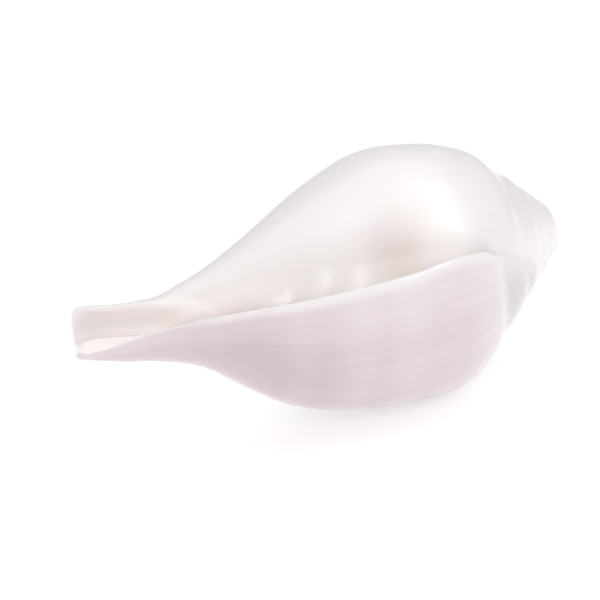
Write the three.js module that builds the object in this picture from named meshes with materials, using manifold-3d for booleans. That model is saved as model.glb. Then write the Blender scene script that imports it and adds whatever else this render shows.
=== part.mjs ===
// A polished conch shell lying on its back, in millimetres, +Z up.
// The shell is one spiral surface that grows by a fixed ratio each turn, hollowed by the
// chamber behind the outer lip and by the open canal.

import * as THREE from 'three';
import { ParametricGeometry } from 'three/addons/geometries/ParametricGeometry.js';
import { mergeVertices } from 'three/addons/utils/BufferGeometryUtils.js';
import Module from 'manifold-3d';

// Sizes along the coiling axis are measured from the apex towards the canal's end
const shellLength = 130;
const poleBeyondApex = 3.4; // the whorls shrink towards a point just past the worn apex
const lengthGrowth = 1.5; // how much a whorl's lengths grow in one turn
const widthGrowth = 1.42; // how much a whorl's radius grows in one turn
const whorlCount = 8;
const apexRounding = 2.6; // roundness of the worn apex
const sutureSoftness = 1; // roundness of the worn joins between the whorls

// Half outline of the last whorl at the lip, as distance from the pole and radius.
// The first points are hidden under the whorl before.
const rightOutline = [
  [14, 5], [21, 17], [23.4, 21.5], [25.5, 23.6], [27.6, 26.3], [29.6, 29.4], [31.8, 32],
  [38.5, 36.8], [44.9, 38.7], [59.9, 39], [77.3, 36.8], [91.1, 32.1], [101.5, 25.2],
  [111.5, 17.2], [119.7, 13.7], [130.9, 10.6], [148, 6.4],
];
const leftOutline = [
  [14, 5], [21, 17], [23.4, 22.8], [25.5, 25.4], [28, 28.3], [32.3, 32], [39, 34.9], [45.8, 37],
  [59.9, 39], [67.3, 38.8], [75, 37.1], [91.2, 30.6], [108, 21.8], [124.6, 13.7], [132.7, 10.6],
  [148, 6.4],
];

// Canal: its round outside, which bends a little towards the left side at its end
const canalRadius = [[95, 10.5], [106, 8.5], [117, 7.4], [125, 6.95], [130, 6.4]];
const canalBend = [[95, -4.6], [106, -3.6], [117, -1.9], [125, -0.2], [130, 0.6]];
const canalBlendStart = 96;
const canalBlendEnd = 124;
const canalEndRounding = 1.6;
const canalEndSlant = 0.148; // the end is cut back a little towards its left side
const canalEndLow = 6.5; // place on the right side up to which it isn't

// Outer lip: how far its free edge lies to the right of the coiling axis
const lipOffset = [
  [20, 3.2], [38, 2.7], [52, 4.2], [75, 4.8], [92, 4], [106, 3.3], [118, 4.2], [130, 5.2],
];
const lipSineLimit = 0.75; // near the apex the edge swings no further round than this
const lipRadiusAngle = 0.1; // the growth angle whose radius places the edge
const smallestRadius = 0.1;
const lipThickness = 1.5;
const wallThickness = 3.8;
const wallFullAngle = 0.5; // radians behind the edge where the wall has its full thickness
const wallThinning = 1; // thinner again towards the chamber's end
const wallThinsFrom = 1.8;
const wallThinsTo = 3.2;

// Chamber behind the lip
const chamberOpenAngle = -0.25;
const chamberDepthAngle = 4.3;
const chamberMiddle = 60; // a place along the axis that is inside the chamber at the lip
const chamberBackLimit = 10;
const chamberFrontLimit = 135;
const pillarRadius = 4.4;
const pillarSoftness = 2; // roundness where the whorl before runs into the pillar
const pillarWidens = [100, 122]; // where the pillar broadens into the canal's back wall
const pillarWidening = 7;
const hollowPlace = 47; // the deeper place between the whorl before and the folds
const hollowReach = 11;
const hollowDepth = 2.6;
const hollowOpenAngle = -0.5;
const ledgeHeight = 0.3; // edge of the inner lip
const openLift = 2.5; // the cut stays this far off the whorl before, in the open
const openLiftAngle = 0.35;

// Folds on the pillar, each with the angle at which it starts; they widen as they wind inwards
const folds = [[59.4, -0.14], [67.7, -0.24], [76, -0.02]];
const foldLean = 3; // millimetres towards the canal in each radian
const foldHeight = 2.1;
const foldHalfWidth = 0.9;
const foldWidening = 1.3;
const foldGrowthAngle = 0.45;

// Canal groove, as the path of its middle and its radius
const groovePath = [[-134, 2.2, 4.6], [-124, 1.8, 4.7], [-114, 0.3, 5.6], [-102, -1.6, 9]];
const grooveRadius = 3.9;

// How the shell lies by itself on its back
const rollAngle = THREE.MathUtils.degToRad(70);
const restDepth = 0.4; // depth of the worn spot it rests on

// Mesh density
const outsideRows = 56;
const outsideColumns = 49;
const columnCrowding = 0.45;
const chamberSteps = 20;
const crossingSteps = 24; // halvings that find where the chamber closes
const sectionOuterSteps = 12;
const sectionInnerSteps = 40;
const grooveSides = 14;
const grooveSteps = 10;

const mergeDistance = 1e-4;

const turn = 2 * Math.PI;
const { clamp, lerp, smoothstep } = THREE.MathUtils;

// A smooth curve through a few points, as a function of the first coordinate
function curveThrough(points) {
  const last = points.length - 1;
  const slopes = points.map((point, index) => {
    const before = points[Math.max(index - 1, 0)];
    const after = points[Math.min(index + 1, last)];
    return (after[1] - before[1]) / (after[0] - before[0]);
  });
  return (x) => {
    if (x <= points[0][0]) return points[0][1];
    if (x >= points[last][0]) return points[last][1];
    let index = 0;
    while (x > points[index + 1][0]) index += 1;
    const span = points[index + 1][0] - points[index][0];
    const part = (x - points[index][0]) / span;
    const rest = 1 - part;
    return rest * rest * (1 + 2 * part) * points[index][1]
      + part * part * (1 + 2 * rest) * points[index + 1][1]
      + part * rest * rest * span * slopes[index]
      - part * part * rest * span * slopes[index + 1];
  };
}

const rightProfile = curveThrough(rightOutline);
const leftProfile = curveThrough(leftOutline);
const canalRadiusAt = curveThrough(canalRadius);
const canalBendAt = curveThrough(canalBend);
const lipOffsetAt = curveThrough(lipOffset);

// Radius of the spiral at an angle of growth back from the lip, before the canal takes over
function whorlRadius(along, growth) {
  const place = (along + poleBeyondApex) * lengthGrowth ** (growth / turn);
  const leftShare = 0.5 - 0.5 * Math.sin(growth);
  const radius = lerp(rightProfile(place), leftProfile(place), leftShare);
  return radius * widthGrowth ** (-growth / turn);
}

// Radius of the canal's round outside about the coiling axis
function canalOutside(along, growth) {
  const radius = canalRadiusAt(along);
  const bend = canalBendAt(along);
  const side = -Math.sin(growth);
  const across = bend * Math.cos(growth);
  return bend * side + Math.sqrt(radius * radius - across * across);
}

// Radius of one whorl, with the canal at its end
function stageRadius(along, growth) {
  const share = smoothstep(along, canalBlendStart, canalBlendEnd);
  return lerp(whorlRadius(along, growth), canalOutside(along, growth), share);
}

function softMax(a, b, softness) {
  const part = clamp(0.5 + (a - b) / (2 * softness), 0, 1);
  return lerp(b, a, part) + softness * part * (1 - part);
}

// How far a quarter circle of radius one has dropped
function roundOff(part) {
  return 1 - Math.sqrt(1 - part * part);
}

// Rise of the folds, which wind round the pillar with the whorls
function foldRise(along, growth) {
  const place = along - foldLean * growth;
  let rise = 0;
  for (const [foldPlace, startAngle] of folds) {
    const share = smoothstep(growth, startAngle, startAngle + foldGrowthAngle);
    const halfWidth = foldHalfWidth + foldWidening * share;
    rise += share * Math.exp(-(((place - foldPlace) / halfWidth) ** 2));
  }
  return foldHeight * rise;
}

// Side of the aperture across from the lip: the whorl before, then the pillar with its folds
function innerSide(along, growth) {
  const before = whorlRadius(along, growth + turn);
  const reach = (along - hollowPlace) / hollowReach;
  const hollow = hollowDepth * Math.exp(-reach * reach) * smoothstep(growth, hollowOpenAngle, 0);
  const pillar = pillarRadius + pillarWidening * smoothstep(along, ...pillarWidens);
  return softMax(before - hollow, pillar, pillarSoftness) + foldRise(along, growth);
}

// Outside of the shell from a growth angle on to the older whorls
function outsideRadius(along, growth) {
  let radius = stageRadius(along, growth);
  const innerShare = smoothstep(growth - turn, hollowOpenAngle, 0)
    * (1 - smoothstep(along, ...pillarWidens));
  radius = lerp(radius, innerSide(along, growth - turn), innerShare);
  for (let whorl = 1; whorl < whorlCount; whorl += 1) {
    radius = softMax(radius, whorlRadius(along, growth + whorl * turn), sutureSoftness);
  }
  const nearApex = clamp(1 - along / apexRounding, 0, 1);
  const nearEnd = clamp(1 - (shellLength - along) / canalEndRounding, 0, 1);
  return radius - apexRounding * roundOff(nearApex) - canalEndRounding * roundOff(nearEnd);
}

// Angle of growth at which the lip's free edge lies
function lipAngle(along) {
  const radius = Math.max(stageRadius(along, lipRadiusAngle), smallestRadius);
  const sine = Math.min(lipOffsetAt(along) / radius, lipSineLimit);
  return Math.asin(sine);
}

// A point of the shell's own frame: apex at x = 0, canal along -x, lip towards +z, right at -y
function placePoint(along, growth, radius, target) {
  target.set(-along, -radius * Math.sin(growth), radius * Math.cos(growth));
}

// Rows lie closer together at both ends and across the folds
const rowPlace = curveThrough([
  [0, 0], [0.05, 1.5], [0.3, 30], [0.42, 48], [0.78, 80], [0.96, 126], [1, shellLength],
]);

// Columns lie closer together near the lip and the inner side
function columnAngle(part) {
  return turn * part - columnCrowding * Math.sin(turn * part);
}

function outsideGeometry() {
  const stepShare = 1 / outsideColumns;
  return new ParametricGeometry((u, v, target) => {
    if (v === 0 || v === 1) {
      target.set(shellLength * (v - 1), 0, 0);
      return;
    }
    const along = rowPlace(1 - v);
    const edge = lipAngle(along);
    if (u < stepShare / 2 || u === 1) {
      placePoint(along, edge, outsideRadius(along, edge + turn), target);
      return;
    }
    const growth = edge + columnAngle((u - stepShare) / (1 - stepShare));
    placePoint(along, growth, outsideRadius(along, growth), target);
  }, outsideColumns, outsideRows);
}

function wallAt(growth) {
  const thinning = wallThinning * smoothstep(growth, wallThinsFrom, wallThinsTo);
  return lerp(lipThickness, wallThickness, smoothstep(growth, 0, wallFullAngle)) - thinning;
}

// The cut follows the inner side, and stands clear of it in the open
function chamberInner(along, growth) {
  const lift = openLift * smoothstep(-growth, 0, openLiftAngle);
  return innerSide(along, growth) + ledgeHeight + lift;
}

function chamberOuter(along, growth) {
  return stageRadius(along, growth) - wallAt(growth);
}

// Place between an inside and an outside point where a function changes sign
function crossing(depth, inside, outside) {
  let low = inside;
  let high = outside;
  for (let step = 0; step < crossingSteps; step += 1) {
    const middle = (low + high) / 2;
    if (depth(middle) > 0) low = middle;
    else high = middle;
  }
  return (low + high) / 2;
}

// The chamber as sections swept round the axis, with a flat cap at both ends
function chamberGeometry() {
  const sectionSteps = sectionOuterSteps + sectionInnerSteps;
  const sweepSteps = chamberSteps + 2;
  return new ParametricGeometry((u, v, target) => {
    const sweep = clamp((v * sweepSteps - 1) / chamberSteps, 0, 1);
    const growth = lerp(chamberOpenAngle, chamberDepthAngle, sweep);
    const depth = (along) => chamberOuter(along, growth) - chamberInner(along, growth);
    const scale = lengthGrowth ** (-growth / turn);
    const middle = chamberMiddle * scale;
    const first = crossing(depth, middle, chamberBackLimit * scale);
    const last = crossing(depth, middle, chamberFrontLimit);
    if (v === 0 || v === 1) {
      const radius = (chamberOuter(middle, growth) + chamberInner(middle, growth)) / 2;
      placePoint(middle, growth, radius, target);
      return;
    }
    const index = Math.round(u * sectionSteps) % sectionSteps;
    const goesOut = index <= sectionOuterSteps;
    const part = goesOut ? index / sectionOuterSteps : (sectionSteps - index) / sectionInnerSteps;
    const along = lerp(first, last, part);
    const radius = goesOut ? chamberOuter(along, growth) : chamberInner(along, growth);
    placePoint(along, growth, radius, target);
  }, sectionSteps, sweepSteps);
}

// The groove is a round channel along the canal
function grooveGeometry() {
  const path = groovePath.map((point) => new THREE.Vector3(...point));
  const round = new THREE.Shape();
  round.absarc(0, 0, grooveRadius, 0, turn);
  return new THREE.ExtrudeGeometry(round, {
    steps: grooveSteps,
    curveSegments: grooveSides,
    bevelEnabled: false,
    extrudePath: new THREE.CatmullRomCurve3(path),
  });
}

const wasm = await Module();
wasm.setup();

function toSolid(geometry) {
  geometry.deleteAttribute('normal');
  geometry.deleteAttribute('uv');
  const merged = mergeVertices(geometry, mergeDistance);
  const corners = merged.index.array;
  const triangles = [];
  for (let start = 0; start < corners.length; start += 3) {
    const [a, b, c] = corners.slice(start, start + 3);
    if (a !== b && b !== c && c !== a) triangles.push(a, b, c);
  }
  return new wasm.Manifold(new wasm.Mesh({
    numProp: 3,
    vertProperties: merged.attributes.position.array,
    triVerts: new Uint32Array(triangles),
  }));
}

function toGeometry(solid) {
  const mesh = solid.getMesh();
  const geometry = new THREE.BufferGeometry();
  geometry.setAttribute('position', new THREE.BufferAttribute(mesh.vertProperties, 3));
  geometry.setIndex(new THREE.BufferAttribute(mesh.triVerts, 1));
  geometry.computeVertexNormals();
  return geometry;
}

// Everything below a level, as one block
function groundBelow(level, size) {
  const block = new THREE.BoxGeometry(size, size, size);
  block.translate(0, 0, level - size / 2);
  return block;
}

// The whole shell, turned to lie on its back with its worn spot level
function makeShell() {
  const outside = toSolid(outsideGeometry());
  const chamber = toSolid(chamberGeometry());
  const groove = toSolid(grooveGeometry());
  const lying = new THREE.Matrix4().makeRotationX(rollAngle);
  const slant = new THREE.Vector3(1, -canalEndSlant, 0).normalize();
  const slantOffset = slant.dot(new THREE.Vector3(-shellLength, -canalEndLow, 0));
  const hollowed = outside.subtract(chamber).subtract(groove)
    .trimByPlane(slant.toArray(), slantOffset)
    .transform(lying.elements);
  const lowest = hollowed.boundingBox().min[2];
  const ground = toSolid(groundBelow(lowest + restDepth, 4 * shellLength));
  const polishedWhite = new THREE.MeshStandardMaterial({
    color: 0xf1e9ea,
    roughness: 0.22,
    metalness: 0,
  });
  const shell = new THREE.Mesh(toGeometry(hollowed.subtract(ground)), polishedWhite);
  shell.name = 'shell';
  return shell;
}

// The origin is under the middle of the shell, on the surface it lies on
function standOnOrigin(shell) {
  const box = new THREE.Box3().setFromObject(shell, true);
  const middle = box.getCenter(new THREE.Vector3());
  shell.position.set(-middle.x, -middle.y, -box.min.z);
}

const group = new THREE.Group();
const shell = makeShell();
standOnOrigin(shell);
group.add(shell);

export default group;
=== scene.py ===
import math

import bpy
import numpy as np
from mathutils import Matrix, Vector


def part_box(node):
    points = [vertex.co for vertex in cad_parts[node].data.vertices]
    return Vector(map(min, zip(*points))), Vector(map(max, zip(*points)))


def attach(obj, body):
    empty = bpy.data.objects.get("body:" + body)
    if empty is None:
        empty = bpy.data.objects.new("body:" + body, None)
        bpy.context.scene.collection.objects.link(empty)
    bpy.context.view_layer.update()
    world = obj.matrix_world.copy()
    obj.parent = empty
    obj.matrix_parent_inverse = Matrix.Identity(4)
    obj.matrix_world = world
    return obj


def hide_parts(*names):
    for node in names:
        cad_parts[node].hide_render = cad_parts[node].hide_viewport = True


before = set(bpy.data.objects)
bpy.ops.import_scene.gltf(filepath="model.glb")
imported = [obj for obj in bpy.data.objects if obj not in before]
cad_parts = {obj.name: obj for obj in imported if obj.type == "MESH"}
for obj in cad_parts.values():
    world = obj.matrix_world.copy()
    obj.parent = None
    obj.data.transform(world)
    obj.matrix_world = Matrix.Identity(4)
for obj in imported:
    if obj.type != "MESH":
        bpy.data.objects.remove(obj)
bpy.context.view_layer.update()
print("frame loaded")

turn = 2 * math.pi
millimetresInMetre = 1000

# The shell's form, in millimetres. Places along the coiling axis are measured from the apex.
# Growth is the angle back from the lip, in radians, so it also counts the whorls.
shellForm = {
    "length": 130.0,
    "poleBeyondApex": 3.4,        # where the spiral would shrink to nothing
    "lengthGrowth": 1.5,          # per turn
    "widthGrowth": 1.42,
    "whorls": 8,
    "sutureSoftness": 1.8,
    "spireSoftness": 3.2,         # the older sutures are worn
    "apexSoftness": 2.2,
    "endSoftness": 1.3,
    # half outline of the last whorl on each side, as distance from the pole and radius
    "rightOutline": [
        (14, 5), (21, 17), (23.4, 21.5), (25.5, 23.6), (27.6, 26.3), (29.6, 29.4), (31.8, 32),
        (38.5, 36.8), (44.9, 38.7), (59.9, 39), (77.3, 36.8), (91.1, 32.1), (101.5, 25.2),
        (111.5, 17.2), (119.7, 13.7), (130.9, 10.6), (148, 6.4),
    ],
    "leftOutline": [
        (14, 5), (21, 17), (23.4, 22.8), (25.5, 25.4), (28, 28.3), (32.3, 32), (39, 34.9),
        (45.8, 37), (59.9, 39), (67.3, 38.8), (75, 37.1), (91.2, 30.6), (108, 21.8),
        (124.6, 13.7), (132.7, 10.6), (148, 6.4),
    ],
    # the canal, as place along the axis and radius or sideways bend
    "canalRadius": [(95, 10.5), (106, 8.5), (117, 7.4), (125, 6.95), (130, 6.4)],
    "canalBend": [(95, -4.6), (106, -3.6), (117, -1.9), (125, -0.2), (130, 0.6)],
    "canalBlend": (96, 124),
    # how far the lip's edge lies beside the axis, at places along it
    "lipOffset": [
        (20, 3.2), (38, 2.7), (52, 4.2), (75, 4.8), (92, 4), (106, 3.3), (118, 4.2), (130, 5.2),
    ],
    "lipRadiusAngle": 0.1,        # the radius under the lip is taken this far back
    "smallestRadius": 0.1,
    "lipSineLimit": 0.75,
    "lipThickness": 2.0,
    "wallThickness": 3.8,
    "wallFullAngle": 0.5,
    "wallThinning": 1.0,
    "wallThins": (1.8, 3.2),      # radians
    "wallBeforeLip": 1.2,         # radians ahead of the lip where the wall still counts
    "farFromLip": 100.0,
    "lipSoftness": 0.9,
    "wornLip": (23.0, 31.0),      # where the lip's edge is worn away, towards the suture
    "wornSoftness": 1.6,
    "chamberDepth": 4.3,          # radians
    "chamberClosing": 0.25,
    "filletSoftness": 1.4,
    "sharpest": 0.001,            # keeps a softness above zero
    "pillarRadius": 4.4,
    "pillarSoftness": 2.0,
    "pillarWidens": (100, 122),
    "pillarWidening": 7.0,
    "hollowPlace": 47.0,
    "hollowReach": 11.0,
    "hollowDepth": 2.6,
    "hollowOpenAngle": -0.5,
    "folds": ((59.4, -0.14), (67.7, -0.24), (76.0, -0.02)),  # place and starting angle
    "foldLean": 3.0,              # towards the canal in each radian
    "foldHeight": 2.1,
    "foldHalfWidth": 0.9,
    "foldWidening": 1.3,
    "foldGrowthAngle": 0.45,
    "groovePathY": [(100, -1.8), (114, 0.3), (124, 1.8), (134, 2.2)],
    "groovePathZ": [(100, 9.6), (114, 5.6), (124, 4.7), (134, 4.6)],
    "grooveRadius": [(88, 0.1), (97, 3.4), (106, 3.9), (134, 3.9)],
    "grooveSoftness": 1.4,
    "slotPlace": (-119.2, 0.9, 1.4),  # the narrow pit in the canal's floor
    "slotSize": (1.8, 0.3, 0.8),
    "slotSoftness": 0.4,
    "canalEndSlant": 0.148,
    "canalEndLow": 6.5,
    "rollAngle": math.radians(70),    # how it lies on its back
    "restDepth": 0.4,                 # of the worn flat spot that it rests on
}

# The grid that the surface is drawn from, in millimetres, finer across the shell than along it
shellMesh = {
    "cell": (0.88, 0.62, 0.62),   # keeps the shell just under 200,000 triangles
    "lowSides": (-39.0, -37.0),   # the shell's reach across its axis
    "highSides": (36.0, 42.0),
    "margin": 1.5,
    "settleSteps": 3,
    "slopeStep": 0.05,
    "leastSlopeSquared": 0.15,
    "longestMove": 0.3,
    "shortestMove": 1e-6,
    "wornCanal": (98.0, 106.0),
    "lipCorner": (-22.0, -3.0, 24.0),
    "lipCornerReach": (5.0, 13.0),
    "wear": 0.6,
    "wearRounds": 8,
}


def smoothPoints(points, samples=4000):
    # a smooth curve through a few points, as a function of the first coordinate
    xs, ys = np.array(points, float).T
    slopes = np.empty_like(ys)
    slopes[1:-1] = (ys[2:] - ys[:-2]) / (xs[2:] - xs[:-2])
    slopes[0] = (ys[1] - ys[0]) / (xs[1] - xs[0])
    slopes[-1] = (ys[-1] - ys[-2]) / (xs[-1] - xs[-2])
    fine = np.linspace(xs[0], xs[-1], samples)
    at = np.clip(np.searchsorted(xs, fine, side="right") - 1, 0, len(xs) - 2)
    span = xs[at + 1] - xs[at]
    part = (fine - xs[at]) / span
    rest = 1 - part
    values = (rest ** 2 * (1 + 2 * part) * ys[at] + part ** 2 * (1 + 2 * rest) * ys[at + 1]
              + part * rest ** 2 * span * slopes[at] - part ** 2 * rest * span * slopes[at + 1])
    return lambda x: np.interp(x, fine, values)


def smoothStep(x, low, high):
    part = np.clip((x - low) / (high - low), 0, 1)
    return part * part * (3 - 2 * part)


def softMax(a, b, softness):
    part = np.clip(0.5 + (a - b) / (2 * softness), 0, 1)
    return b + (a - b) * part + softness * part * (1 - part)


def softMin(a, b, softness):
    return -softMax(-a, -b, softness)


def mix(a, b, share):
    return a + (b - a) * share


rightProfile = smoothPoints(shellForm["rightOutline"])
leftProfile = smoothPoints(shellForm["leftOutline"])
canalRadiusAt = smoothPoints(shellForm["canalRadius"])
canalBendAt = smoothPoints(shellForm["canalBend"])
lipOffsetAt = smoothPoints(shellForm["lipOffset"])
groovePathYAt = smoothPoints(shellForm["groovePathY"])
groovePathZAt = smoothPoints(shellForm["groovePathZ"])
grooveRadiusAt = smoothPoints(shellForm["grooveRadius"])


def whorlRadius(along, growth):
    f = shellForm
    place = (along + f["poleBeyondApex"]) * f["lengthGrowth"] ** (growth / turn)
    leftShare = 0.5 - 0.5 * np.sin(growth)
    radius = mix(rightProfile(place), leftProfile(place), leftShare)
    return radius * f["widthGrowth"] ** (-growth / turn)


def stageRadius(along, growth):
    # one whorl, with the round canal at its end
    radius = canalRadiusAt(along)
    bend = canalBendAt(along)
    across = bend * np.cos(growth)
    canal = -bend * np.sin(growth) + np.sqrt(radius * radius - across * across)
    return mix(whorlRadius(along, growth), canal, smoothStep(along, *shellForm["canalBlend"]))


def foldRise(along, growth):
    f = shellForm
    place = along - f["foldLean"] * growth
    rise = 0
    for foldPlace, start in f["folds"]:
        share = smoothStep(growth, start, start + f["foldGrowthAngle"])
        halfWidth = f["foldHalfWidth"] + f["foldWidening"] * share
        rise = rise + share * np.exp(-((place - foldPlace) / halfWidth) ** 2)
    return f["foldHeight"] * rise


def hollowAt(along, growth):
    f = shellForm
    reach = (along - f["hollowPlace"]) / f["hollowReach"]
    return f["hollowDepth"] * np.exp(-reach * reach) * smoothStep(growth, f["hollowOpenAngle"], 0)


def innerSide(along, growth):
    # across from the lip: the whorl before, then the pillar with its folds
    f = shellForm
    before = whorlRadius(along, growth + turn) - hollowAt(along, growth)
    pillar = f["pillarRadius"] + f["pillarWidening"] * smoothStep(along, *f["pillarWidens"])
    return softMax(before, pillar, f["pillarSoftness"]) + foldRise(along, growth)


def angleBehindLip(along, y, z):
    # the angle back from the lip's edge, from nothing to a turn, and the edge's own angle
    f = shellForm
    radius = np.maximum(stageRadius(along, f["lipRadiusAngle"]), f["smallestRadius"])
    edge = np.arcsin(np.minimum(lipOffsetAt(along) / radius, f["lipSineLimit"]))
    return np.mod(np.arctan2(-y, z) - edge, turn), edge


def wornSoftnessAt(along):
    # extra rounding of the lip's end by the suture
    f = shellForm
    return f["wornSoftness"] * (1 - smoothStep(along, *f["wornLip"]))


def bodyField(along, radius, growth, closing):
    # everything but the last whorl's wall
    f = shellForm
    outside = stageRadius(along, growth)
    innerShare = smoothStep(growth - turn, f["hollowOpenAngle"], 0)
    innerShare = innerShare * (1 - smoothStep(along, *f["pillarWidens"]))
    outside = mix(outside, innerSide(along, growth - turn), innerShare)
    before = whorlRadius(along, growth + turn)
    inChamber = np.maximum(np.minimum(innerSide(along, growth), outside),
                           before - hollowAt(along, growth))
    bodyRadius = mix(inChamber, softMax(outside, before, f["sutureSoftness"]), closing)
    for whorl in range(2, f["whorls"]):
        older = whorlRadius(along, growth + whorl * turn)
        bodyRadius = softMax(bodyRadius, older, f["spireSoftness"])
    return bodyRadius - radius


def wallField(along, radius, behind, edge):
    # the last whorl's wall, which ends at the lip
    f = shellForm
    near = np.where(behind > turn - f["wallBeforeLip"], behind - turn, behind)
    outside = stageRadius(along, near + edge)
    thickness = mix(f["lipThickness"], f["wallThickness"],
                    smoothStep(near, 0, f["wallFullAngle"]))
    thickness = thickness - f["wallThinning"] * smoothStep(near, *f["wallThins"])
    wall = softMin(outside - radius, radius - outside + thickness, f["lipSoftness"])
    fromLip = np.where(np.abs(near) < math.pi / 2, radius * np.sin(near), f["farFromLip"])
    return softMin(wall, fromLip, f["lipSoftness"] + wornSoftnessAt(along))


def grooveDistance(along, y, z):
    # how far a place is outside the canal's groove
    fromPath = np.hypot(y - groovePathYAt(along), z - groovePathZAt(along))
    return fromPath - grooveRadiusAt(along)


def slotDistance(x, y, z):
    # about how far a place is outside the pit in the canal's floor
    f = shellForm
    offsets = [(value - place) / size
               for value, place, size in zip((x, y, z), f["slotPlace"], f["slotSize"])]
    return (np.sqrt(sum(offset ** 2 for offset in offsets)) - 1) * f["slotSize"][1]


def shellField(x, y, z):
    # positive inside the shell's own material, in the shell's own frame
    f = shellForm
    along = -x
    radius = np.sqrt(y * y + z * z)
    behind, edge = angleBehindLip(along, y, z)
    growth = behind + edge
    depth = f["chamberDepth"]
    closing = smoothStep(growth, depth - f["chamberClosing"], depth)
    body = bodyField(along, radius, growth, closing)
    wall = wallField(along, radius, behind, edge)
    # where the chamber has closed, both are the same surface and need no fillet
    fillet = f["filletSoftness"] + wornSoftnessAt(along)
    solid = softMax(body, wall, fillet * (1 - closing) + f["sharpest"])

    # the canal's groove and the pit in its floor, then the round ends
    solid = softMin(solid, grooveDistance(along, y, z), f["grooveSoftness"])
    solid = softMin(solid, slotDistance(x, y, z), f["slotSoftness"])
    end = f["length"] - along - f["canalEndSlant"] * np.maximum(y + f["canalEndLow"], 0)
    solid = softMin(solid, end, f["endSoftness"])
    return softMin(solid, along, f["apexSoftness"])


def surfaceCells(field, low, cell):
    # one vertex in each cell that the surface crosses, one face round each crossed grid edge
    inside = field > 0
    shape = np.array(field.shape) - 1
    total = np.zeros((*shape, 3), np.float32)
    count = np.zeros(shape, np.float32)
    edges = []
    for axis in range(3):
        here = [slice(None)] * 3
        there = [slice(None)] * 3
        here[axis] = slice(0, -1)
        there[axis] = slice(1, None)
        a, b = field[tuple(here)], field[tuple(there)]
        spot = np.argwhere(inside[tuple(here)] != inside[tuple(there)])
        va, vb = a[tuple(spot.T)], b[tuple(spot.T)]
        place = spot.astype(np.float32)
        place[:, axis] += va / (va - vb)
        others = [k for k in range(3) if k != axis]
        ring = []
        for first, second in ((0, 0), (1, 0), (1, 1), (0, 1)):
            corner = spot.copy()
            corner[:, others[0]] -= first
            corner[:, others[1]] -= second
            ring.append(corner)
            flat = np.ravel_multi_index(corner.T, shape)
            np.add.at(total.reshape(-1, 3), flat, place)
            np.add.at(count.reshape(-1), flat, 1)
        edges.append((ring, va > 0, axis))
    used = np.flatnonzero(count.reshape(-1))
    number = np.full(count.size, -1, np.int64)
    number[used] = np.arange(len(used))
    points = total.reshape(-1, 3)[used] / count.reshape(-1)[used, None]
    faces = []
    for ring, rising, axis in edges:
        quads = np.stack([number[np.ravel_multi_index(c.T, shape)] for c in ring], 1)
        outward = rising if axis != 1 else ~rising   # round the middle axis a ring runs backwards
        quads[~outward] = quads[~outward][:, ::-1]
        faces.append(quads)
    return points * cell + low, np.concatenate(faces)


def settleOnSurface(points):
    # moves each vertex straight onto the exact surface
    m = shellMesh
    step = m["slopeStep"]
    for _ in range(m["settleSteps"]):
        x, y, z = points.T
        value = shellField(x, y, z)
        slope = np.stack([
            shellField(x + step, y, z) - shellField(x - step, y, z),
            shellField(x, y + step, z) - shellField(x, y - step, z),
            shellField(x, y, z + step) - shellField(x, y, z - step),
        ], 1) / (2 * step)
        slopeSquared = np.maximum((slope ** 2).sum(1), m["leastSlopeSquared"])
        move = -value[:, None] * slope / slopeSquared[:, None]
        size = np.maximum(np.linalg.norm(move, axis=1), m["shortestMove"])
        move *= np.minimum(1, m["longestMove"] / size)[:, None]
        points = points + move
    return points


def relaxPoints(points, faces, share, rounds):
    # moves each vertex towards the middle of its neighbours by its share
    pairs = np.concatenate([faces[:, [k, (k + 1) % 4]] for k in range(4)])
    count = np.bincount(pairs[:, 0], minlength=len(points))
    for _ in range(rounds):
        total = np.stack([np.bincount(pairs[:, 0], points[pairs[:, 1], k], len(points))
                          for k in range(3)], 1)
        points = points + (total / count[:, None] - points) * share[:, None]
    return points


def wornShare(points):
    # the canal's rim and the lip's end by the suture are worn smooth
    m = shellMesh
    canal = smoothStep(-points[:, 0], *m["wornCanal"])
    fromCorner = np.linalg.norm(points - np.array(m["lipCorner"]), axis=1)
    corner = 1 - smoothStep(fromCorner, *m["lipCornerReach"])
    return m["wear"] * np.maximum(canal, corner)


def buildShellSurface():
    m = shellMesh
    cell = np.array(m["cell"])
    low = np.array([-shellForm["length"], *m["lowSides"]]) - m["margin"]
    high = np.array([0.0, *m["highSides"]]) + m["margin"]
    axes = [np.arange(low[k], high[k] + cell[k], cell[k]) for k in range(3)]
    field = np.empty([len(a) for a in axes], np.float32)
    yGrid, zGrid = np.meshgrid(axes[1], axes[2], indexing="ij")
    for index, x in enumerate(axes[0]):
        field[index] = shellField(np.full_like(yGrid, x), yGrid, zGrid)
    points, faces = surfaceCells(field, low, cell)
    points = settleOnSurface(points)
    return relaxPoints(points, faces, wornShare(points), m["wearRounds"]), faces


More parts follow.
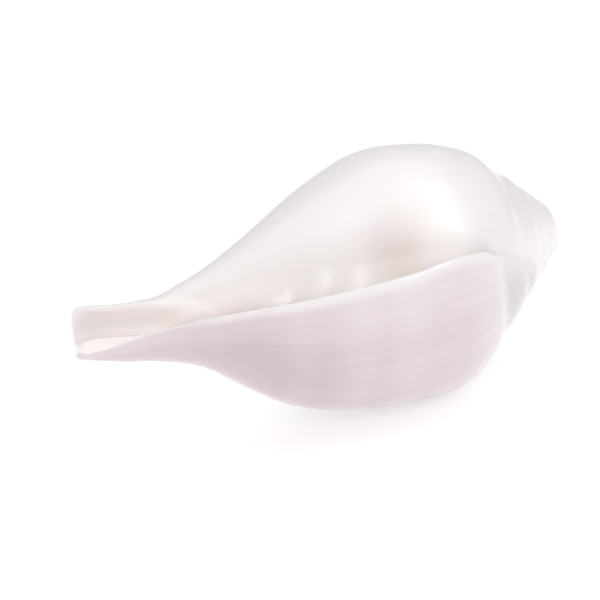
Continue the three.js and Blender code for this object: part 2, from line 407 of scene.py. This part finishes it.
# Where the colours lie. Pairs are where a colour starts and is full, or ends: in millimetres
# along the axis or below the outside, or in radians back from the lip, negative ahead of it.
# Spots are a place along the axis, its reach, an angle and its reach.
shellMarks = {
    "outerDepth": (0.4, 1.6),
    "outerEnds": (2.6, 4.2),
    "mouthStarts": (-1.5, -0.1),
    "mouthDepth": (0.6, 2.0),
    "mouthAlong": (24, 40),
    "recess": (48.5, 4.5, -0.06, 0.3),
    # a spot of painted shade in the hollow above the folds
    "hollow": (52.0, 9.0, -0.4, 0.35),
    # painted glow: a spot between the bulge and the lip with its strength, then the gap behind
    # the lip
    "shelfGlow": (37.5, 6.5, -0.15, 0.25),
    "shelfLight": 1.6,
    "gapStarts": (-1.0, 0.1),
    "gapEnds": (1.0, 2.0),
    "gapAlong": (50, 60),
    "gapAlongEnds": (98, 110),
    "canalRim": (0.1, 0.6),       # outside the groove
    "canalAlong": (88, 104),
    # the lip wall that faces down: real mauve and painted shade, fading near the bottom edge as a
    # painted lighter rim
    "lowSideStarts": (0.01, 0.11),
    "lowSideFirst": 0.62,         # its share by the lip, before it is full
    "lowSideFull": (0.13, 0.55),
    "lowSideEnds": (1.0, 1.6),
    # painted shade on the spire's side that faces down
    "lowSpireStarts": (0, 0.6),
    "lowSpireEnds": (1.6, 2.6),
    "lowSpireAlongEnds": (22, 27),
}


def fadeIn(x, pair):
    return smoothStep(x, *pair)


def fadeOut(x, pair):
    return 1 - smoothStep(x, *pair)


def roundSpot(along, ahead, spot):
    place, reach, angle, angleReach = spot
    return np.exp(-((along - place) / reach) ** 2 - ((ahead - angle) / angleReach) ** 2)


def surfaceMasks(points):
    # where each vertex lies on the shell, and how much of each colour belongs there
    m = shellMarks
    x, y, z = points.T
    along = -x
    behind, edge = angleBehindLip(along, y, z)
    ahead = np.where(behind > math.pi, behind - turn, behind)   # negative ahead of the lip
    depth = stageRadius(along, behind + edge) - np.hypot(y, z)
    outer = fadeOut(depth, m["outerDepth"]) * fadeOut(behind, m["outerEnds"])
    mouth = fadeIn(ahead, m["mouthStarts"])
    mouth = mouth * np.where(ahead >= 0, fadeIn(depth, m["mouthDepth"]), 1)
    mouth = mouth * fadeIn(along, m["mouthAlong"])
    canal = fadeOut(grooveDistance(along, y, z), m["canalRim"]) * fadeIn(along, m["canalAlong"])
    # the lip wall that faces down and towards the viewer, and the same side of the spire: painted
    # shade darkens both, over the lip's real mauve, and the lip's share fades out near the bottom
    # as a painted lighter rim
    lowSide = mix(m["lowSideFirst"], 1, fadeIn(ahead, m["lowSideFull"]))
    lowSide = fadeIn(ahead, m["lowSideStarts"]) * lowSide * fadeOut(ahead, m["lowSideEnds"])
    spireShadeSide = fadeIn(ahead, m["lowSpireStarts"]) * fadeOut(ahead, m["lowSpireEnds"])
    spireShadeSide = spireShadeSide * fadeOut(along, m["lowSpireAlongEnds"])
    # painted glow: lightens the shaded gap between the lip and the pillar, and a spot between the
    # bulge and the lip, though nothing there is a lamp
    gapGlow = fadeIn(ahead, m["gapStarts"]) * fadeOut(ahead, m["gapEnds"])
    gapGlow = gapGlow * fadeIn(along, m["gapAlong"]) * fadeOut(along, m["gapAlongEnds"])
    shelfGlow = roundSpot(along, ahead, m["shelfGlow"]) * (1 - outer)
    return {
        "along": along,
        "across": np.sin(behind),
        "upright": np.cos(behind),
        "lowSide": lowSide,
        "spireShadeSide": spireShadeSide,
        "outer": outer,
        "mouth": mouth,
        "recess": roundSpot(along, ahead, m["recess"]) * mouth,
        "folds": foldRise(along, ahead + edge) / shellForm["foldHeight"] * mouth,
        "canal": canal,
        "hollow": roundSpot(along, ahead, m["hollow"]) * mouth,
        "gapGlow": np.maximum(gapGlow * mouth, m["shelfLight"] * shelfGlow),
    }


def makeShell():
    points, faces = buildShellSurface()
    print("shell surface", len(points), "vertices", 2 * len(faces), "triangles")
    turned = np.array(Matrix.Rotation(shellForm["rollAngle"], 3, "X"))
    placed = points @ turned.T / millimetresInMetre
    # the lowest point lies a little under the floor, where the worn spot is flat
    low, high = placed.min(0), placed.max(0)
    boxLow, boxHigh = (np.array(corner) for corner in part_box("shell"))
    move = (boxLow + boxHigh) / 2 - (low + high) / 2
    move[2] = -low[2] - shellForm["restDepth"] / millimetresInMetre
    placed = placed + move
    placed[:, 2] = np.maximum(placed[:, 2], 0)
    mesh = bpy.data.meshes.new("shell_surface")
    mesh.from_pydata(placed.tolist(), [], faces.tolist())
    mesh.polygons.foreach_set("use_smooth", [True] * len(mesh.polygons))
    mesh.update()
    for name, values in surfaceMasks(points).items():
        layer = mesh.attributes.new(name, "FLOAT", "POINT")
        layer.data.foreach_set("value", values.astype(np.float32))
    piece = bpy.data.objects.new("shell_surface", mesh)
    bpy.context.collection.objects.link(piece)
    return piece, Vector(move)


shellPiece, shellMove = makeShell()
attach(shellPiece, "root")
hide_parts("shell")
print("shell made")


class Socket:
    # a shader value or colour that can be written into expressions
    def __init__(self, tree, socket):
        self.tree = tree
        self.socket = socket

    def math(self, operation, *values):
        return node(self.tree, "ShaderNodeMath", {"operation": operation}, values)

    def __add__(self, other):
        return self.math("ADD", self, other)

    __radd__ = __add__

    def __sub__(self, other):
        return self.math("SUBTRACT", self, other)

    def __rsub__(self, other):
        return self.math("SUBTRACT", other, self)

    def __mul__(self, other):
        return self.math("MULTIPLY", self, other)

    __rmul__ = __mul__

    def __truediv__(self, other):
        return self.math("DIVIDE", self, other)

    def __rtruediv__(self, other):
        return self.math("DIVIDE", other, self)

    def __pow__(self, other):
        return self.math("POWER", self, other)

    def __rpow__(self, other):
        return self.math("POWER", other, self)

    def __neg__(self):
        return self.math("MULTIPLY", self, -1.0)

    def step(self, low, high):
        # smooth share of the way from low to high
        values = {"Value": self, "From Min": low, "From Max": high}
        return node(self.tree, "ShaderNodeMapRange", {"interpolation_type": "SMOOTHSTEP"}, values)


def node(tree, kind, settings, values=(), output=0):
    # settings first, then the sockets by place or by name
    made = tree.nodes.new(kind)
    for name, value in settings.items():
        setattr(made, name, value)
    pairs = values.items() if isinstance(values, dict) else enumerate(values)
    for key, value in pairs:
        if isinstance(value, Socket):
            tree.links.new(value.socket, made.inputs[key])
        else:
            made.inputs[key].default_value = value
    return Socket(tree, made.outputs[output])


def tint(tree, base, share, colour):
    # the base colour moved towards another one by a share
    # a Mix node's two colours are its sockets 6 and 7, and its mixed colour is output 2
    values = {0: share, 6: base, 7: (*colour, 1)}
    return node(tree, "ShaderNodeMix", {"data_type": "RGBA"}, values, 2)


shellPaint = {
    "white": (0.825, 0.787, 0.798),
    # dull streaks, and painted shade on the lip wall that faces down
    "dull": (0.74, 0.685, 0.70),
    # the lip's real mauve, made darker as painted shade
    "mauve": (0.56, 0.445, 0.49),
    "cream": (0.96, 0.925, 0.91),
    "warm": (0.93, 0.81, 0.72),
    "peach": (0.86, 0.785, 0.765),
    "canalDusk": (0.72, 0.655, 0.64),
    "foldWhite": (0.98, 0.95, 0.925),
    # painted shade for the hollow above the folds
    "hollowMauve": (0.76, 0.68, 0.70),
    # painted glow in the shaded gap behind the lip; nothing there is a lamp
    "gapGlowColour": (0.085, 0.073, 0.071),   # light in the gap behind the lip
    "spirePink": (0.78, 0.72, 0.72),
    # painted shade for the spire's side that faces down
    "spireLow": (0.56, 0.52, 0.51),
    # how much each colour covers those below it
    "streakShare": 0.22,
    "lowSideShare": 0.7,
    "mauveShare": 0.9,
    "spirePinkShare": 0.5,
    "spireShadeShare": 0.8,
    "creamShare": 0.85,
    "creamClouds": 0.3,
    "peachShare": 0.8,
    "duskShare": 0.5,
    "hollowShare": 0.6,
    "warmShare": 0.6,
    "warmClouds": 0.8,
    "foldShare": 0.9,
    # places along the axis where a colour starts and is full, or where the spire's fades out
    "mauveAlong": (28, 95),
    "spireEnds": (14, 24),
    "peachAlong": (82, 112),
    "duskAlong": (110, 127),
    # the mauve's share at the spire, its usual level, and how far the lines and bands move it
    "mauveAtSpire": 0.45,
    "mauveLevel": 0.8,
    "mauveLines": 0.45,
    "mauveWinding": 0.25,
    # faint bands that wind round the last whorl: place along the axis, half width, strength
    "bands": ((92, 9, 0.55), (74, 5, 0.25), (60, 4, 0.16), (46.5, 4, 0.22), (38, 7, 0.25)),
    # line patterns: scale along the shell, scale round it, scale of the whole, detail
    "growthLines": (0.03, 12.0, 1.6, 4.0),
    "windLines": (0.22, 0.35, 1.0, 2.0),
    # cloud patterns: scale, detail
    "cloud": (38.0, 2.0),
    "wave": (90.0, 2.0),
    "ripple": (420.0, 2.0),
    "streakRange": (0.42, 0.72),   # the part of a pattern's values that a colour uses
    "cloudRange": (0.35, 0.65),
    # heights in metres
    "waveHeight": 0.00012,
    "rippleHeight": 0.00003,
    "lineHeight": 0.00002,
    "roughness": (0.16, 0.24),
    "finish": {
        # the strength of the painted glow
        "Emission Strength": 1.0,
        "Subsurface Weight": 0.25,
        "Subsurface Radius": (1.0, 0.7, 0.6),
        "Subsurface Scale": 0.003,
        "Coat Weight": 0.35,
        "Coat Roughness": 0.06,
    },
}


def makeShellMaterial():
    p = shellPaint
    material = bpy.data.materials.new("polished_shell")
    material.use_nodes = True
    tree = material.node_tree
    shader = tree.nodes["Principled BSDF"]
    middle = 0.5   # patterns move either side of this

    def mask(name):
        return node(tree, "ShaderNodeAttribute", {"attribute_name": name}, (), "Fac")

    def clouds(vector, scale, detail):
        values = {"Vector": vector, "Scale": scale, "Detail": detail}
        return node(tree, "ShaderNodeTexNoise", {}, values)

    def lines(alongScale, roundScale, scale, detail):
        parts = (along * alongScale, across * roundScale, upright * roundScale)
        return clouds(node(tree, "ShaderNodeCombineXYZ", {}, parts), scale, detail)

    along, across, upright = mask("along"), mask("across"), mask("upright")
    lowSide, spireShadeSide, outer = mask("lowSide"), mask("spireShadeSide"), mask("outer")
    mouth, recess, folds = mask("mouth"), mask("recess"), mask("folds")
    canal, hollow, gapGlow = mask("canal"), mask("hollow"), mask("gapGlow")
    place = node(tree, "ShaderNodeTexCoord", {}, (), "Object")

    # growth lines lie across the whorls, and winding bands lie round them
    growthLines = lines(*p["growthLines"])
    windLines = lines(*p["windLines"])
    cloud = clouds(place, *p["cloud"])

    bands = 0.0
    for centre, halfWidth, strength in p["bands"]:
        offset = (along - centre) / halfWidth
        bands = bands + strength * math.e ** -(offset * offset)
    rise = 1 - p["mauveAtSpire"]
    mauve = outer * lowSide * (p["mauveAtSpire"] + rise * along.step(*p["mauveAlong"]) + bands)
    mauve = mauve * (p["mauveLevel"] + p["mauveLines"] * (growthLines - middle)
                     + p["mauveWinding"] * (windLines - middle))
    mauve = node(tree, "ShaderNodeClamp", {}, (mauve, 0.0, 1.0))

    # each colour and its share, from the lowest to the highest
    spire = 1 - along.step(*p["spireEnds"])
    coats = [
        ("dull", (1 - mouth) * growthLines.step(*p["streakRange"]) * p["streakShare"]),
        # painted shade on the lip wall that faces down
        ("dull", outer * lowSide * p["lowSideShare"]),
        # the lip's real mauve, made darker on the side facing down as painted shade
        ("mauve", mauve * p["mauveShare"]),
        ("spirePink", spire * p["spirePinkShare"] * cloud.step(*p["cloudRange"])),
        # painted shade on the spire's side that faces down
        ("spireLow", spireShadeSide * p["spireShadeShare"]),
        ("cream", mouth * (p["creamShare"] + p["creamClouds"] * (cloud - middle))),
        ("peach", mouth * along.step(*p["peachAlong"]) * p["peachShare"]),
        ("peach", canal * p["peachShare"]),
        ("canalDusk", canal * along.step(*p["duskAlong"]) * p["duskShare"]),
        # painted shade in the hollow above the folds
        ("hollowMauve", hollow * p["hollowShare"]),
        ("warm", recess * (p["warmShare"] + p["warmClouds"] * (cloud - middle))),
        ("foldWhite", folds * p["foldShare"]),
    ]
    colour = (*p["white"], 1)
    for name, share in coats:
        colour = tint(tree, colour, share, p[name])
    tree.links.new(colour.socket, shader.inputs["Base Color"])

    # painted glow in the shaded gap behind the lip and between the bulge and the lip, though no
    # lamp is there
    glow = tint(tree, (0, 0, 0, 1), gapGlow, p["gapGlowColour"])
    tree.links.new(glow.socket, shader.inputs["Emission Color"])

    wave = clouds(place, *p["wave"]) * p["waveHeight"]
    ripple = clouds(place, *p["ripple"]) * p["rippleHeight"]
    relief = wave + ripple + outer * growthLines * p["lineHeight"]
    bump = node(tree, "ShaderNodeBump", {}, {"Strength": 1.0, "Distance": 1.0, "Height": relief})
    tree.links.new(bump.socket, shader.inputs["Normal"])
    smoothest, roughest = p["roughness"]
    roughness = smoothest + (roughest - smoothest) * cloud
    tree.links.new(roughness.socket, shader.inputs["Roughness"])
    for name, value in p["finish"].items():
        shader.inputs[name].default_value = value
    return material


shellPiece.data.materials.append(makeShellMaterial())
print("shell finished")

# Camera, lights and floor, in metres
studio = {
    "lookYaw": math.radians(15),     # towards the canal's side
    "imageSlope": math.radians(13),  # how the shell's axis rises to the right in the picture
    "distance": 0.75,
    "lengthInPixels": 494.0,         # of the shell in the picture
    "imageSize": 600.0,
    "middlePixel": (316.0, 280.0),   # where the middle of the shell's axis is in the picture
    "sensor": 36.0,                  # millimetres
    "clipStart": 0.01,
    "floorHalf": 3.0,
    "floorColour": (0.93, 0.93, 0.93, 1),
    "floorRoughness": 0.9,
    "floorGlow": 0.30,               # the table is lit a little from below
    "glowColour": (1, 1, 1, 1),
    "softboxes": {
        "softbox_strip": {
            "place": (0.27, -0.32, 0.52), "target": (0.03, 0, 0.05), "size": (0.08, 0.74),
            "power": 0.9, "upright": (0.15, 1.05, 0.61), "mirrored": True,
        },
        "softbox_top": {
            "place": (-0.1, 0.1, 0.8), "target": (0, 0, 0.03), "size": (1.2, 1.0),
            "power": 2.3, "upright": (0, 1, 0), "mirrored": True,
        },
        "softbox_front": {
            "place": (-0.16, -0.75, 0.42), "target": (0, 0, 0.03), "size": (0.6, 0.5),
            "power": 1.3, "upright": (0, 0, 1), "mirrored": False,
        },
    },
    # the room is dimmer towards the viewer's side and near the ground
    "roomColour": (1, 1, 1, 1),
    "roomLight": (0.47, 0.64),
    "roomMiddle": 0.5,
    "roomRisesAway": 0.45,
    "roomRisesUp": 0.35,
}


def makeCamera():
    s = studio
    place = Matrix.Translation(shellMove) @ Matrix.Rotation(shellForm["rollAngle"], 4, "X")
    yaw, slope = s["lookYaw"], s["imageSlope"]
    back = Vector((-math.sin(yaw), 0, math.cos(yaw)))
    right = Vector((math.cos(yaw), 0, math.sin(yaw)))
    up = back.cross(right)
    # the axis climbs to the right, so the camera itself is turned the other way
    turnedRight = right * math.cos(slope) - up * math.sin(slope)
    turnedUp = up * math.cos(slope) + right * math.sin(slope)
    length = shellForm["length"] / millimetresInMetre
    middle = Vector((-length / 2, 0, 0))
    metresPerPixel = length * math.cos(yaw) / s["lengthInPixels"]
    dx = s["middlePixel"][0] - s["imageSize"] / 2
    dy = s["imageSize"] / 2 - s["middlePixel"][1]
    target = middle - (turnedRight * dx + turnedUp * dy) * metresPerPixel
    eye = target + back * s["distance"]
    axes = Matrix((turnedRight, turnedUp, back)).transposed().to_4x4()
    data = bpy.data.cameras.new("camera")
    data.sensor_width = s["sensor"]
    data.lens = s["sensor"] * s["distance"] / (metresPerPixel * s["imageSize"])
    data.clip_start = s["clipStart"]
    camera = bpy.data.objects.new("camera", data)
    camera.matrix_world = place @ Matrix.Translation(eye) @ axes
    bpy.context.collection.objects.link(camera)
    bpy.context.scene.camera = camera


def makeFloor():
    mesh = bpy.data.meshes.new("floor")
    half = studio["floorHalf"]
    mesh.from_pydata([(-half, -half, 0), (half, -half, 0), (half, half, 0), (-half, half, 0)],
                     [], [(0, 1, 2, 3)])
    floor = bpy.data.objects.new("floor", mesh)
    bpy.context.collection.objects.link(floor)
    material = bpy.data.materials.new("floor_paper")
    material.use_nodes = True
    shader = material.node_tree.nodes["Principled BSDF"]
    shader.inputs["Base Color"].default_value = studio["floorColour"]
    shader.inputs["Roughness"].default_value = studio["floorRoughness"]
    shader.inputs["Emission Color"].default_value = studio["glowColour"]
    shader.inputs["Emission Strength"].default_value = studio["floorGlow"]
    floor.data.materials.append(material)


def makeLight(name, place, target, size, power, upright, mirrored):
    data = bpy.data.lights.new(name, "AREA")
    data.shape = "RECTANGLE"
    data.size, data.size_y = size
    data.energy = power
    light = bpy.data.objects.new(name, data)
    light.location = place
    # the light's second side runs as close as it can to the upright direction
    back = (Vector(place) - Vector(target)).normalized()
    across = Vector(upright).cross(back).normalized()
    axes = Matrix((across, back.cross(across), back)).transposed()
    light.rotation_euler = axes.to_euler()
    light.visible_glossy = mirrored
    bpy.context.collection.objects.link(light)


def makeRoom():
    s = studio
    world = bpy.data.worlds.new("studio")
    world.use_nodes = True
    tree = world.node_tree
    background = tree.nodes["Background"]
    background.inputs["Color"].default_value = s["roomColour"]
    direction = node(tree, "ShaderNodeTexCoord", {}, (), "Generated")
    away = node(tree, "ShaderNodeSeparateXYZ", {}, (direction,), "Y")
    up = node(tree, "ShaderNodeSeparateXYZ", {}, (direction,), "Z")
    dimmest, brightest = s["roomLight"]
    share = (s["roomMiddle"] + s["roomRisesAway"] * away + s["roomRisesUp"] * up).step(0.0, 1.0)
    strength = dimmest + (brightest - dimmest) * share
    tree.links.new(strength.socket, background.inputs["Strength"])
    bpy.context.scene.world = world


def makeStudio():
    makeCamera()
    makeFloor()
    for name, softbox in studio["softboxes"].items():
        makeLight(name, **softbox)
    makeRoom()
    bpy.context.scene.view_settings.view_transform = "Standard"


makeStudio()
print("studio made")
